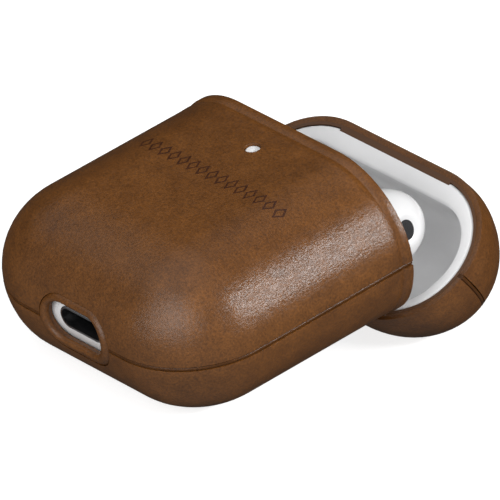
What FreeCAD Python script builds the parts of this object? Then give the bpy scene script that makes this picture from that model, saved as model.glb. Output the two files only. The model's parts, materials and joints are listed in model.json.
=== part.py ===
"""Earbud charging case in a two-part leather cover, lying on its back with its lid open.

Solids are built in the case's own axes: x across, y from the port end (0) to the lid end, z towards the
front face, with z = 0 at half depth. The lid is built shut and then swung open about the hinge, and at the
end everything is tilted the way the open case rests on a table.
"""
import math
import os

import FreeCAD
import Part
from FreeCAD import Vector

# ---- driving dimensions, mm ----
CASE_WIDTH = 44.3  # the white case, without its cover
CASE_DEPTH = 21.2
CASE_HEIGHT = 52.8
CORNER = 11.7  # corner radius of the white case seen from the front
EDGE = 11.6  # how far the rounding of the case's edges reaches in from its outline
COVER = 1.5  # cover with its fit
LEATHER = 1.0
COVER_FIT = 0.05  # between the cover's shell and the case
HOUSING_WALL = 1.2
LIP = 39.6  # the case's split line, above its port end
SPLIT_GAP = 0.3  # between the base's lip and the shut lid's rim
SEAM_LEVEL = -0.5  # level of the cover's side seam
WELT = 0.7  # width of the welt in that seam
WELT_PROUD = 0.08
OPEN_ANGLE = 57.8  # the lid's stop

# hinge
PIVOT_BELOW_LIP = 1.9
PIVOT_IN_FROM_BACK = 1.0  # from the cover's back face
KNUCKLE_RADIUS = 0.98
PIN_RADIUS = 0.5
PIN_FIT = 0.05
HINGE_WIDTH = 21.0
LEAF_WIDTH = 9.8
HINGE_GAP = 0.15  # sideways, between knuckles
CUTOUT_ROOM = 0.5  # round the hinge, in the leather and shell
BRACKET_LENGTH = 3.2

# port, button, light
BEZEL = (15.5, 9.9)
PORT_HOLE = (11.4, 5.6)
BEZEL_PROUD = 0.25
SOCKET = (9.0, 3.3)  # outside of the receptacle's shell
SOCKET_LENGTH = 7.4
SOCKET_WALL = 0.3
SOCKET_FIT = 0.05
TONGUE = (6.7, 5.4, 0.7)
LIGHT_UP = 34.4  # window hole, above the cover's port end
WINDOW_HOLE = 2.4
LIGHT_PIPE = 1.6
LIGHT_PIPE_LENGTH = 3.4
LIGHT_CHIP = 1.0
BUTTON_UP = 21.0
BUTTON_RADIUS = 3.9
BUTTON_FIT = 0.15
BUTTON_HOLE = 5.0  # radius of the hole in the cover over the button
BUTTON_STROKE = 0.3
BUTTON_STEM = 1.4
BUTTON_CLEARANCE = 0.02  # between the pressed stem and the switch
SWITCH = 3.2
SWITCH_SUNK = 0.2  # into the ferrite's opening

# earbuds
HEAD_AT = (11.8, 44.9, -2.2)
HEAD_RADIUS = 5.6
HEAD_HALF_LENGTH = 7.0
STEM_AT = (7.4, -1.4)
STEM_RADIUS = 2.6
STEM_BOTTOM = 15.0
CAP_LENGTH = 1.2
TIP_AT = (14.3, 38.6, -2.2)
TIP_RADIUS = 4.3
NOZZLE_RADIUS = 2.0
WELL_ROOM = 0.3
WELL_FLOOR = 1.6
VENT_RADIUS = 1.6
VENT_FACING = (5.0, 1.3, 1.6)
MESH = 0.3  # thickness of the earbuds' meshes
VENT_DEPTH = 0.6  # from the head's surface to the floor under the mesh
NOZZLE_SHORT = 1.0  # from the nozzle's end to the tip's
BORE_UNDER = 0.2  # from the stem's end to the bore's floor
CONTACT_RADIUS = 0.45
CONTACT_OFF = 1.2  # each contact from the stem's axis

# inside
INSERT_BOTTOM = 31.5
CAVITY = (20.2, 7.5, 8.6)  # half width, towards the front, towards the back
CAVITY_DEPTH = 11.3
CAVITY_EDGE = 7.5
MAGNET = (5.0, 1.6, 1.2)
MAGNET_AT = (6.0, 8.45)
MAGNET_UNDER_LIP = 0.5
MAGNET_ABOVE_RIM = 1.5
TAB = (23.0, 0.8, 0.45)  # retaining tab of the lid cover: across, along y, inwards
TAB_ROOM = 0.02
GLUE = (18.0, 4.0, 0.25)  # adhesive strips of the lid cover
BATTERY = (26.0, 19.0, 4.4)
BATTERY_LOW = 10.6
BATTERY_PAD = (20.0, 12.0, 0.7)
BOARD = (29.0, 18.8, 0.8)
BOARD_GAP = 0.9  # between the ferrite and the board
PORT_BOARD = (12.0, 6.4, 0.8)
PORT_BOARD_GAP = 0.5  # behind the housing's end wall
FRAME = (30.0, 18.0, 0.9)  # plastic frame between the board and the wells
COIL = (6.4, 9.6, 0.45)
FERRITE = (5.6, 9.8, 0.4)
GLUE_FILM = 0.15

SIDES = {"right": 1, "left": -1}
WIDTH = CASE_WIDTH + 2 * COVER
HEIGHT = CASE_HEIGHT + 2 * COVER
HALF_DEPTH = CASE_DEPTH / 2 + COVER
LIP_Y = LIP + COVER
BASE_TOP = LIP_Y - SPLIT_GAP / 2
LID_BOTTOM = LIP_Y + SPLIT_GAP / 2
PIVOT_Y = LIP_Y - PIVOT_BELOW_LIP
PIVOT_Z = PIVOT_IN_FROM_BACK - HALF_DEPTH
EDGE_OUT = EDGE + COVER
SHELL_IN = COVER - COVER_FIT
WALL_IN = COVER + HOUSING_WALL
FAR = 100.0


def box(x, y, z):
    """A block between pairs of limits."""
    return Part.makeBox(x[1] - x[0], y[1] - y[0], z[1] - z[0], Vector(x[0], y[0], z[0]))


def rod(x, y, z, radius, low, high):
    """A cylinder between two limits along the one axis that is given as None."""
    at = [low if v is None else v for v in (x, y, z)]
    along = [1 if v is None else 0 for v in (x, y, z)]
    return Part.makeCylinder(radius, high - low, Vector(*at), Vector(*along))


def slot(size, low, high, grow=0.0):
    """A prism with round ends along y, centred on the y axis, size across x and z."""
    radius = size[1] / 2 + grow
    half = size[0] / 2 - size[1] / 2
    ends = [rod(x, None, 0, radius, low, high) for x in (-half, half)]
    return box((-half, half), (low, high), (-radius, radius)).fuse(ends).removeSplitter()


def quarter(reach, depth, flat, sign):
    """Edge of an elliptical rounding, from the widest level to a flat face."""
    centre = Vector(flat, 0, 0)
    side = Vector(flat + reach, 0, 0)
    top = Vector(flat, 0, sign * depth)
    long, short = (side, top) if reach >= depth else (top, side)
    ellipse = Part.Ellipse(long, short, centre)
    a, b = ellipse.parameter(side), ellipse.parameter(top)
    if abs(a - b) > math.pi:
        a, b = (a, b - 2 * math.pi) if b > a else (a - 2 * math.pi, b)
    return Part.ArcOfEllipse(ellipse, min(a, b), max(a, b)).toShape()


def pillow(half_width, y, front, back, corner, edge):
    """A slab with round corners seen along z, and edges rounded elliptically to the front and to the back."""
    flat = corner - edge
    rim = [
        Part.makeLine(Vector(0, 0, -back), Vector(flat, 0, -back)),
        quarter(edge, back, flat, -1),
        quarter(edge, front, flat, 1),
        Part.makeLine(Vector(flat, 0, front), Vector(0, 0, front)),
        Part.makeLine(Vector(0, 0, front), Vector(0, 0, -back)),
    ]
    face = Part.Face(Part.Wire(Part.__sortEdges__(rim)))
    inner_x = half_width - corner
    inner_y = (y[0] + corner, y[1] - corner)
    core = box((-inner_x, inner_x), inner_y, (-back, front))
    pieces = []
    corners = [(1, 1), (-1, 1), (-1, 0), (1, 0)]
    for turn, (side, end) in enumerate(corners):
        piece = face.revolve(Vector(0, 0, 0), Vector(0, 0, 1), 90)
        piece.rotate(Vector(0, 0, 0), Vector(0, 0, 1), 90 * turn)
        piece.translate(Vector(side * inner_x, inner_y[end], 0))
        pieces.append(piece)
        length = inner_y[1] - inner_y[0] if turn % 2 == 0 else 2 * inner_x
        wall = face.extrude(Vector(0, length, 0))
        wall.translate(Vector(0, -length, 0))
        wall.rotate(Vector(0, 0, 0), Vector(0, 0, 1), 90 * turn)
        wall.translate(Vector(side * inner_x, inner_y[end], 0))
        pieces.append(wall)
    return core.fuse(pieces).removeSplitter()


def layer(inwards):
    """The closed case's outer form, offset inwards from the cover's outside."""
    return pillow(
        WIDTH / 2 - inwards,
        (inwards, HEIGHT - inwards),
        HALF_DEPTH - inwards,
        HALF_DEPTH - inwards,
        CORNER + COVER - inwards,
        EDGE_OUT - inwards,
    )


def between(outer, inner, y=(-FAR, FAR), z=(-FAR, FAR)):
    """The wall between two offsets, within limits."""
    return layer(outer).cut(layer(inner)).common(box((-FAR, FAR), y, z))


def base_limits():
    return (-FAR, BASE_TOP)


def lid_limits():
    return (LID_BOTTOM, FAR)


def seam_sides():
    """Limits in z of the front and back leather halves, with the welt between."""
    return {
        "front": (SEAM_LEVEL + WELT / 2, FAR),
        "back": (-FAR, SEAM_LEVEL - WELT / 2),
    }


def hinge_cutout(y):
    """Room for the hinge through the cover's back, at the split."""
    half = HINGE_WIDTH / 2 + CUTOUT_ROOM
    return box((-half, half), y, (-FAR, -HALF_DEPTH / 2))


def base_cutout():
    return hinge_cutout((PIVOT_Y - KNUCKLE_RADIUS - BRACKET_LENGTH - CUTOUT_ROOM, FAR))


def lid_cutout():
    return hinge_cutout((-FAR, LID_BOTTOM + BRACKET_LENGTH + CUTOUT_ROOM))


def cover_base():
    """Leather halves, seam welt, port bezel and inner shell of the cover's base."""
    window = rod(0, LIGHT_UP, None, WINDOW_HOLE / 2, 0, FAR)
    access = rod(0, BUTTON_UP, None, BUTTON_HOLE, -FAR, 0)
    bezel_hole = slot(BEZEL, -FAR, HALF_DEPTH)
    holes = [window, access, bezel_hole, base_cutout()]
    parts = {}
    for side, z in seam_sides().items():
        parts["base_leather_" + side] = between(0, LEATHER, base_limits(), z).cut(holes)
    welt = (SEAM_LEVEL - WELT / 2, SEAM_LEVEL + WELT / 2)
    parts["base_seam_welt"] = between(-WELT_PROUD, LEATHER, base_limits(), welt).cut(bezel_hole)
    ring = layer(-BEZEL_PROUD).common(slot(BEZEL, -FAR, HALF_DEPTH))
    parts["port_bezel"] = ring.cut([slot(PORT_HOLE, -FAR, FAR), layer(SHELL_IN)])
    parts["base_shell"] = between(LEATHER, SHELL_IN, base_limits()).cut(holes)
    return parts


def glue_strip(side):
    """Adhesive strip between the lid cover's shell and the lid, front or back."""
    near = LID_BOTTOM + BRACKET_LENGTH + 2 * CUTOUT_ROOM
    limits = box((-GLUE[0] / 2, GLUE[0] / 2), (near, near + GLUE[1]), sorted((0, side * FAR)))
    return layer(COVER - GLUE[2]).cut(layer(COVER)).common(limits)


def retaining_tab(room=0.0):
    """Tab at the front of the lid cover's rim, hooked under the lid's edge."""
    face = HALF_DEPTH - COVER
    return box(
        (-TAB[0] / 2 - room, TAB[0] / 2 + room),
        (LID_BOTTOM - room, LID_BOTTOM + TAB[1] + room),
        (face - TAB[2] - room, face + COVER_FIT),
    )


def cover_lid():
    """Leather halves, seam welt, inner shell and adhesive strips of the cover's lid."""
    strips = {"lid_adhesive_front": glue_strip(1), "lid_adhesive_back": glue_strip(-1)}
    parts = {}
    for side, z in seam_sides().items():
        parts["lid_leather_" + side] = between(0, LEATHER, lid_limits(), z).cut(lid_cutout())
    welt = (SEAM_LEVEL - WELT / 2, SEAM_LEVEL + WELT / 2)
    parts["lid_seam_welt"] = between(-WELT_PROUD, LEATHER, lid_limits(), welt)
    shell = between(LEATHER, SHELL_IN, lid_limits()).cut([lid_cutout()] + list(strips.values()))
    parts["lid_shell"] = shell.fuse(retaining_tab()).removeSplitter()
    parts.update(strips)
    return parts


def on_side(point, side):
    """A place or direction of the right-hand side, or its mirror image for the left."""
    return Vector(side * point[0], point[1], point[2])


def capsule(x, z, radius, low, high):
    """A rod along y with ends that are half spheres."""
    slant = radius * math.sqrt(0.5)
    middle = (low + high) / 2
    half = (high - low) / 2 - radius
    wide = [Vector(0, end * half, -radius) for end in (1, -1)]
    bulge = [Vector(0, end * (half + slant), -slant) for end in (1, -1)]
    tips = [Vector(0, end * (half + radius), 0) for end in (1, -1)]
    profile = [
        Part.Arc(tips[0], bulge[0], wide[0]).toShape(),
        Part.makeLine(wide[0], wide[1]),
        Part.Arc(wide[1], bulge[1], tips[1]).toShape(),
        Part.makeLine(tips[1], tips[0]),
    ]
    solid = Part.Face(Part.Wire(profile)).revolve(Vector(0, 0, 0), Vector(0, 1, 0), 360)
    solid.translate(Vector(x, middle, z))
    return solid


def egg(side, grow=0.0):
    """An earbud's head, longer along y than it is wide."""
    reach_y = HEAD_HALF_LENGTH + grow
    return capsule(
        side * HEAD_AT[0], HEAD_AT[2], HEAD_RADIUS + grow, HEAD_AT[1] - reach_y, HEAD_AT[1] + reach_y
    )


def stem_rod(side, radius, low, high):
    """A cylinder on the axis of an earbud's stem."""
    return rod(side * STEM_AT[0], None, STEM_AT[1], radius, low, high)


def well(side):
    """An earbud's well: a bowl for the head, room for the tip and a bore for the stem."""
    bowl = egg(side, WELL_ROOM)
    radius = TIP_RADIUS + WELL_ROOM
    tip = capsule(side * TIP_AT[0], TIP_AT[2], radius, TIP_AT[1] - radius, HEAD_AT[1] + radius)
    bore = stem_rod(side, STEM_RADIUS + WELL_ROOM, STEM_BOTTOM - BORE_UNDER, HEAD_AT[1])
    return bowl.fuse([tip, bore])


def magnet(side, y):
    centre = side * MAGNET_AT[0]
    return box(
        (centre - MAGNET[0] / 2, centre + MAGNET[0] / 2),
        (y, y + MAGNET[1]),
        (MAGNET_AT[1] - MAGNET[2] / 2, MAGNET_AT[1] + MAGNET[2] / 2),
    )


def base_magnets():
    return {"base_magnet_" + n: magnet(s, BASE_TOP - MAGNET_UNDER_LIP - MAGNET[1]) for n, s in SIDES.items()}


def lid_magnets():
    return {"lid_magnet_" + n: magnet(s, LID_BOTTOM + MAGNET_ABOVE_RIM) for n, s in SIDES.items()}


def case_base():
    """Housing of the white case's base, and its insert with the earbuds' wells."""
    wells = [well(side) for side in SIDES.values()]
    housing = between(COVER, WALL_IN, base_limits())
    groove = rod(None, PIVOT_Y, PIVOT_Z, KNUCKLE_RADIUS + HINGE_GAP, -HINGE_WIDTH / 2 - CUTOUT_ROOM,
                 HINGE_WIDTH / 2 + CUTOUT_ROOM)
    holes = [
        slot(SOCKET, -FAR, HALF_DEPTH, SOCKET_FIT),
        rod(0, LIGHT_UP, None, LIGHT_PIPE / 2, 0, FAR),
        rod(0, BUTTON_UP, None, BUTTON_RADIUS + BUTTON_FIT, -FAR, 0),
        groove,
    ]
    top = layer(WALL_IN).common(box((-FAR, FAR), (INSERT_BOTTOM, BASE_TOP), (-FAR, FAR)))
    tube_limits = (STEM_BOTTOM - WELL_FLOOR, INSERT_BOTTOM)
    tubes = [stem_rod(side, STEM_RADIUS + WELL_FLOOR, *tube_limits) for side in SIDES.values()]
    light = rod(0, LIGHT_UP, None, LIGHT_PIPE / 2, 0, FAR)
    insert = top.fuse(tubes).cut(wells + list(base_magnets().values()) + [light, groove])
    pins = [pin for side in SIDES.values() for pin in contact_pins(side)]
    return {"case_housing": housing.cut(holes), "case_insert": insert.cut(pins)}


def lid():
    """Housing of the white case's lid, and its insert with the cavity."""
    housing = between(COVER, WALL_IN, lid_limits()).cut(retaining_tab(TAB_ROOM))
    cavity = pillow(
        CAVITY[0],
        (-FAR, LID_BOTTOM + CAVITY_DEPTH),
        CAVITY[1],
        CAVITY[2],
        CAVITY_EDGE + 0.1,
        CAVITY_EDGE,
    )
    insert = layer(WALL_IN).common(box((-FAR, FAR), lid_limits(), (-FAR, FAR))).cut(cavity)
    insert = insert.cut(list(lid_magnets().values()) + [retaining_tab(TAB_ROOM)])
    return {"lid_housing": housing, "lid_insert": insert}


def hinge_base():
    """Bracket with two outer knuckles, the pin in them and the spring under the leaf's knuckle."""
    half = HINGE_WIDTH / 2
    inner = LEAF_WIDTH / 2 + HINGE_GAP
    low = PIVOT_Y - KNUCKLE_RADIUS - BRACKET_LENGTH
    plate = box((-half, half), (low, PIVOT_Y - KNUCKLE_RADIUS - HINGE_GAP), (-FAR, 0))
    bracket = plate.common(between(HINGE_GAP, COVER))
    for side in (-1, 1):
        ends = sorted((side * inner, side * half))
        knuckle = rod(None, PIVOT_Y, PIVOT_Z, KNUCKLE_RADIUS, *ends)
        arm = box(ends, (low, PIVOT_Y), (-FAR, 0)).common(between(HINGE_GAP, COVER))
        bracket = bracket.fuse([knuckle, arm])
    bracket = bracket.removeSplitter().cut(rod(None, PIVOT_Y, PIVOT_Z, PIN_RADIUS, -half, half))
    pin = rod(None, PIVOT_Y, PIVOT_Z, PIN_RADIUS, -half, half)
    return {"hinge_bracket": bracket, "hinge_pin": pin}


def hinge_leaf():
    """Leaf on the lid's back with the middle knuckle."""
    half = LEAF_WIDTH / 2
    knuckle = rod(None, PIVOT_Y, PIVOT_Z, KNUCKLE_RADIUS, -half, half)
    skin = between(HINGE_GAP, COVER)
    arm = box((-half, half), (PIVOT_Y, LID_BOTTOM), (-FAR, 0)).common(skin)
    wide = HINGE_WIDTH / 2
    plate = box((-wide, wide), (LID_BOTTOM, LID_BOTTOM + BRACKET_LENGTH), (-FAR, 0)).common(skin)
    leaf = knuckle.fuse([arm, plate]).removeSplitter()
    return {"hinge_leaf": leaf.cut(rod(None, PIVOT_Y, PIVOT_Z, PIN_RADIUS + PIN_FIT, -half, half))}


def contact_pins(side):
    """Two spring contacts in the floor of a well."""
    low = STEM_BOTTOM - WELL_FLOOR
    high = STEM_BOTTOM - BORE_UNDER
    places = (STEM_AT[0] - CONTACT_OFF, STEM_AT[0] + CONTACT_OFF)
    return [rod(side * x, None, STEM_AT[1], CONTACT_RADIUS, low, high) for x in places]


def port():
    """Receptacle for the charging plug."""
    shell = slot(SOCKET, COVER, COVER + SOCKET_LENGTH)
    root = COVER + SOCKET_LENGTH - SOCKET_WALL
    inside = slot(SOCKET, 0, root, -SOCKET_WALL)
    tongue = box(
        (-TONGUE[0] / 2, TONGUE[0] / 2), (root - TONGUE[1], root), (-TONGUE[2] / 2, TONGUE[2] / 2)
    )
    return {"port_shell": shell.cut(inside), "port_tongue": tongue}


def electronics():
    """Battery, circuit board, wireless charging coil with its ferrite, light and button switch."""
    back = WALL_IN - HALF_DEPTH
    front = -back
    coil_low = back + GLUE_FILM
    ferrite_low = coil_low + COIL[2]
    ferrite_top = ferrite_low + FERRITE[2]
    board_low = ferrite_top + BOARD_GAP
    board_y = BUTTON_UP - BOARD[1] / 2
    battery_top = front - BATTERY_PAD[2]
    pad_low = BATTERY_LOW + (BATTERY[1] - BATTERY_PAD[1]) / 2
    parts = {
        "battery": box(
            (-BATTERY[0] / 2, BATTERY[0] / 2),
            (BATTERY_LOW, BATTERY_LOW + BATTERY[1]),
            (battery_top - BATTERY[2], battery_top),
        ),
        "battery_pad": box(
            (-BATTERY_PAD[0] / 2, BATTERY_PAD[0] / 2),
            (pad_low, pad_low + BATTERY_PAD[1]),
            (battery_top, front),
        ),
        "circuit_board": box(
            (-BOARD[0] / 2, BOARD[0] / 2),
            (board_y, board_y + BOARD[1]),
            (board_low, board_low + BOARD[2]),
        ),
        "inner_frame": box(
            (-FRAME[0] / 2, FRAME[0] / 2),
            (BUTTON_UP - FRAME[1] / 2, BUTTON_UP + FRAME[1] / 2),
            (board_low + BOARD[2], board_low + BOARD[2] + FRAME[2]),
        ),
        "port_board": box(
            (-PORT_BOARD[0] / 2, PORT_BOARD[0] / 2),
            (WALL_IN + PORT_BOARD_GAP, WALL_IN + PORT_BOARD_GAP + PORT_BOARD[1]),
            (-SOCKET[1] / 2 - PORT_BOARD[2], -SOCKET[1] / 2),
        ),
    }
    ring = rod(0, BUTTON_UP, None, COIL[1], coil_low, ferrite_low)
    parts["charging_coil"] = ring.cut(rod(0, BUTTON_UP, None, COIL[0], -FAR, FAR))
    disc = rod(0, BUTTON_UP, None, FERRITE[1], ferrite_low, ferrite_top)
    parts["coil_ferrite"] = disc.cut(rod(0, BUTTON_UP, None, FERRITE[0], -FAR, FAR))
    half = SWITCH / 2
    parts["button_switch"] = box(
        (-half, half), (BUTTON_UP - half, BUTTON_UP + half), (ferrite_top - SWITCH_SUNK, board_low)
    )
    pipe_foot = front - LIGHT_PIPE_LENGTH
    parts["light_pipe"] = rod(0, LIGHT_UP, None, LIGHT_PIPE / 2, pipe_foot, HALF_DEPTH - COVER)
    chip = LIGHT_CHIP / 2
    parts["status_light"] = box(
        (-chip, chip), (LIGHT_UP - chip, LIGHT_UP + chip), (pipe_foot - LIGHT_CHIP / 2, pipe_foot)
    )
    return parts


def button():
    """Setup button in the back of the housing; it moves inwards on a flanged stem."""
    face = COVER - HALF_DEPTH
    cap = rod(0, BUTTON_UP, None, BUTTON_RADIUS, face, face + HOUSING_WALL)
    flange_low = face + HOUSING_WALL
    switch = WALL_IN - HALF_DEPTH + GLUE_FILM + COIL[2] + FERRITE[2] - SWITCH_SUNK
    stem = rod(0, BUTTON_UP, None, BUTTON_STEM, flange_low, switch - BUTTON_STROKE - BUTTON_CLEARANCE)
    return {"setup_button": cap.fuse(stem).removeSplitter()}


def vent_disc(side, height):
    """A disc of some height on the floor of a head's vent."""
    facing = on_side(VENT_FACING, side)
    facing.normalize()
    surface = HEAD_RADIUS / math.hypot(facing.x, facing.z)
    floor = on_side(HEAD_AT, side) + facing * (surface - VENT_DEPTH)
    return Part.makeCylinder(VENT_RADIUS, height, floor, facing)


def earbud(name, side):
    """Head, stem, metal end cap, silicone tip and the black vent mesh of one earbud."""
    head = egg(side)
    stem = stem_rod(side, STEM_RADIUS, STEM_BOTTOM + CAP_LENGTH, HEAD_AT[1]).cut(head)
    cap = stem_rod(side, STEM_RADIUS, STEM_BOTTOM, STEM_BOTTOM + CAP_LENGTH)
    centre = on_side(TIP_AT, side)
    aim = centre - on_side(HEAD_AT, side)
    aim.z = 0
    aim.normalize()
    nozzle = Part.makeCylinder(
        NOZZLE_RADIUS, 2 * TIP_RADIUS - NOZZLE_SHORT, centre - aim * TIP_RADIUS, aim
    )
    tip = Part.makeSphere(TIP_RADIUS, Vector(0, 0, 0))
    tip.rotate(Vector(0, 0, 0), Vector(0, 1, 0), 0 if side > 0 else 180)
    tip.translate(centre)
    tip = tip.cut([head, nozzle, stem])
    head = head.fuse(nozzle.cut(head)).removeSplitter().cut(vent_disc(side, HEAD_RADIUS))
    parts = {"head": head, "stem": stem, "end_cap": cap, "tip": tip, "vent_mesh": vent_disc(side, MESH)}
    return {"bud_" + name + "_" + key: shape for key, shape in parts.items()}


def reach(turn, centre_y, towards_y, towards_z):
    """How far a rounded end of the case reaches in a direction, after it has turned about the hinge."""
    cos, sin = math.cos(turn), math.sin(turn)
    y = towards_y * cos + towards_z * sin
    z = towards_z * cos - towards_y * sin
    from_pivot = (towards_y - y) * PIVOT_Y + (towards_z - z) * PIVOT_Z
    return from_pivot + centre_y * y + math.hypot(EDGE_OUT * y, HALF_DEPTH * z)


def base_reach(y, z):
    return reach(0.0, EDGE_OUT, y, z)


def lid_reach(y, z):
    return reach(-math.radians(OPEN_ANGLE), HEIGHT - EDGE_OUT, y, z)


def rest_tilt():
    """Angle at which the base's back edge and the open lid's edge both touch the table."""
    low, high = 0.0, math.radians(40)
    for _ in range(60):
        middle = (low + high) / 2
        down = (-math.sin(middle), -math.cos(middle))
        if lid_reach(*down) > base_reach(*down):
            low = middle
        else:
            high = middle
    return low


def at_rest(shape, tilt):
    """Tilt a solid and put it on the table, with the origin under the middle of the open case."""
    cos, sin = math.cos(tilt), math.sin(tilt)
    placed = shape.copy()
    placed.rotate(Vector(0, 0, 0), Vector(1, 0, 0), math.degrees(tilt))
    far = lid_reach(cos, -sin)
    near = -base_reach(-cos, sin) - BEZEL_PROUD
    placed.translate(Vector(0, -(far + near) / 2, base_reach(-sin, -cos)))
    return placed


def opened(shape):
    """Swing a lid part open about the hinge."""
    swung = shape.copy()
    swung.rotate(Vector(0, PIVOT_Y, PIVOT_Z), Vector(1, 0, 0), -OPEN_ANGLE)
    return swung


def build():
    os.makedirs("parts", exist_ok=True)
    fixed = {**cover_base(), **case_base(), **hinge_base(), **base_magnets()}
    fixed.update({**port(), **electronics(), **button()})
    for name, side in SIDES.items():
        fixed["contact_pins_" + name] = Part.makeCompound(contact_pins(side))
        fixed.update(earbud(name, side))
    swinging = {**cover_lid(), **lid(), **hinge_leaf(), **lid_magnets()}
    nodes = {**fixed, **{name: opened(shape) for name, shape in swinging.items()}}
    tilt = rest_tilt()
    for name, shape in sorted(nodes.items()):
        solid = at_rest(shape, tilt)
        solid.exportStep(os.path.join("parts", name + ".step"))
        print(f"{name:22s} solids {len(solid.Solids)} valid {solid.isValid()} volume {solid.Volume:9.2f}")
    pivot = Part.Vertex(0, PIVOT_Y, PIVOT_Z)
    print("tilt", round(math.degrees(tilt), 4), "pivot", tuple(at_rest(pivot, tilt).Point))


build()
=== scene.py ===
# %% [markdown]
# An earbud charging case in a two-part leather cover lies on its back with its lid open.
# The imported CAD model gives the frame: where each body is, how the base is tilted and where the lid turns.
# Loading it first means that every piece below can be placed from the model's own numbers.

# %% Load the frame
import math

import bmesh
import bpy
from mathutils import Matrix, Vector
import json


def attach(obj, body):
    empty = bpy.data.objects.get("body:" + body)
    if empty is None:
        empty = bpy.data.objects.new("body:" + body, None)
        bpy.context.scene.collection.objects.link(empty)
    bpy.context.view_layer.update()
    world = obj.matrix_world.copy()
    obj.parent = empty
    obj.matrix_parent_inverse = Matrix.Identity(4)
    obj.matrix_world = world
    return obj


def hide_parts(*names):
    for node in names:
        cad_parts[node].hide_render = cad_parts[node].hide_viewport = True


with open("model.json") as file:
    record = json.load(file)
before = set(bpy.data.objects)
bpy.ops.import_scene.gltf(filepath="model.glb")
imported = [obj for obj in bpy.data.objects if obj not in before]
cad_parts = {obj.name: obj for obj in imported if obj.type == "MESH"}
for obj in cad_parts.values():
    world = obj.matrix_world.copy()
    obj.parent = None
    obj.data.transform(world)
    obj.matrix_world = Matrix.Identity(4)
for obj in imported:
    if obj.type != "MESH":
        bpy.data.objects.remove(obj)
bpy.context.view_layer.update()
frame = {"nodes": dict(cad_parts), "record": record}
joints = {j["name"]: j for j in frame["record"]["behaviour"]["joints"]}

# %% [markdown]
# The case is easiest to model in its own axes, in millimetres: x across, y from the port end to the lid end,
# z towards the front face, with z = 0 at half depth. The slide of the case out of its cover runs along the
# case's own y axis, so its direction gives the tilt. The hinge gives a point that is known in both systems.

# %% Own axes of the case
MM = 0.001
WIDTH, HEIGHT, HALF_DEPTH = 47.3, 55.8, 12.1
CORNER, EDGE = 13.2, 13.1
LIP, SPLIT_GAP = 41.1, 0.3
BASE_TOP, LID_BOTTOM = LIP - SPLIT_GAP / 2, LIP + SPLIT_GAP / 2
PIVOT = Vector((0, 39.2, -11.1))
LID_OPEN = math.radians(57.8)
SEAM = -0.5

slide = Vector(joints["case_slide"]["axis"])
TILT = math.atan2(slide.z, slide.y)
OWN = (
    Matrix.Translation(Vector(joints["lid_hinge"]["pos_m"]))
    @ Matrix.Rotation(TILT, 4, "X")
    @ Matrix.Scale(MM, 4)
    @ Matrix.Translation(-PIVOT)
)
LID = OWN @ Matrix.Translation(PIVOT) @ Matrix.Rotation(-LID_OPEN, 4, "X") @ Matrix.Translation(-PIVOT)
print(f"tilt {math.degrees(TILT):.2f} degrees, case origin at {tuple(round(v, 5) for v in OWN.translation)}")

# %% [markdown]
# The camera is a long lens far away, so the case shows almost no perspective. Its direction is given in the
# case's own axes and then carried into the frame, so the case keeps its place in the picture.

# %% Camera
VIEW_AZIMUTH, VIEW_ELEVATION, VIEW_ROLL = 53.597, 31.900, -8.286
VIEW_DISTANCE, VIEW_TARGET = 1590.7, Vector((4.03, 28.50, 0))
FOCAL_IN_FRAMES = 23.22
SENSOR = 36.0
CLIP_END = 20.0


def look_matrix():
    """Where the camera stands, from its angles and its distance in the case's own axes."""
    az, el, roll = (math.radians(v) for v in (VIEW_AZIMUTH, VIEW_ELEVATION, VIEW_ROLL))
    back = Vector((math.sin(az) * math.cos(el), -math.cos(az) * math.cos(el), math.sin(el)))
    right = Vector((math.cos(az), math.sin(az), 0))
    up = back.cross(right)
    side = right * math.cos(roll) + up * math.sin(roll)
    top = up * math.cos(roll) - right * math.sin(roll)
    turn = Matrix((side, top, back)).transposed().to_4x4()
    place = OWN @ (VIEW_TARGET + back * VIEW_DISTANCE)
    return Matrix.Translation(place) @ Matrix.Rotation(TILT, 4, "X") @ turn


camera = bpy.data.objects.new("camera", bpy.data.cameras.new("camera"))
camera.data.sensor_width = SENSOR
camera.data.lens = SENSOR * FOCAL_IN_FRAMES
camera.data.clip_end = CLIP_END
camera.matrix_world = look_matrix()
bpy.context.collection.objects.link(camera)
bpy.context.scene.camera = camera
print("camera at", tuple(round(v, 3) for v in camera.matrix_world.translation))

# %% [markdown]
# A plain pale floor and large soft lights, as in a studio sweep. A strip low behind the right side gives the
# long soft highlight on the leather's rounded side, a broad light in front and one above fill the rest, and a
# small one looks into the port. The floor is out of sight of reflections, so it doesn't brighten the leather.

# %% Floor and lights
FLOOR_SIZE = 6.0
# Name, direction from the case, distance in metres, size in metres and power in watts.
LIGHTS = [
    ("front_light", (0.32, -0.88, 0.38), 0.7, (0.45, 0.45), 2.5),
    ("top_light", (-0.20, -0.32, 0.92), 0.7, (0.95, 0.95), 2.1),
    ("strip_light", (0.76, 0.40, 0.51), 0.7, (0.34, 0.09), 4.2),
    ("port_light", (-0.10, -0.99, 0.08), 0.8, (0.16, 0.12), 0.45),
]


def finish_mesh(bm, name, place):
    """Puts a mesh in own millimetres into the frame, with smooth faces, as an object at the origin."""
    bmesh.ops.transform(bm, matrix=place, verts=bm.verts)
    for face in bm.faces:
        face.smooth = True
    mesh = bpy.data.meshes.new(name)
    bm.to_mesh(mesh)
    bm.free()
    obj = bpy.data.objects.new(name, mesh)
    bpy.context.collection.objects.link(obj)
    return obj


def make_floor():
    bm = bmesh.new()
    bmesh.ops.create_grid(bm, x_segments=1, y_segments=1, size=FLOOR_SIZE / 2)
    return finish_mesh(bm, "floor", Matrix.Identity(4))


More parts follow.
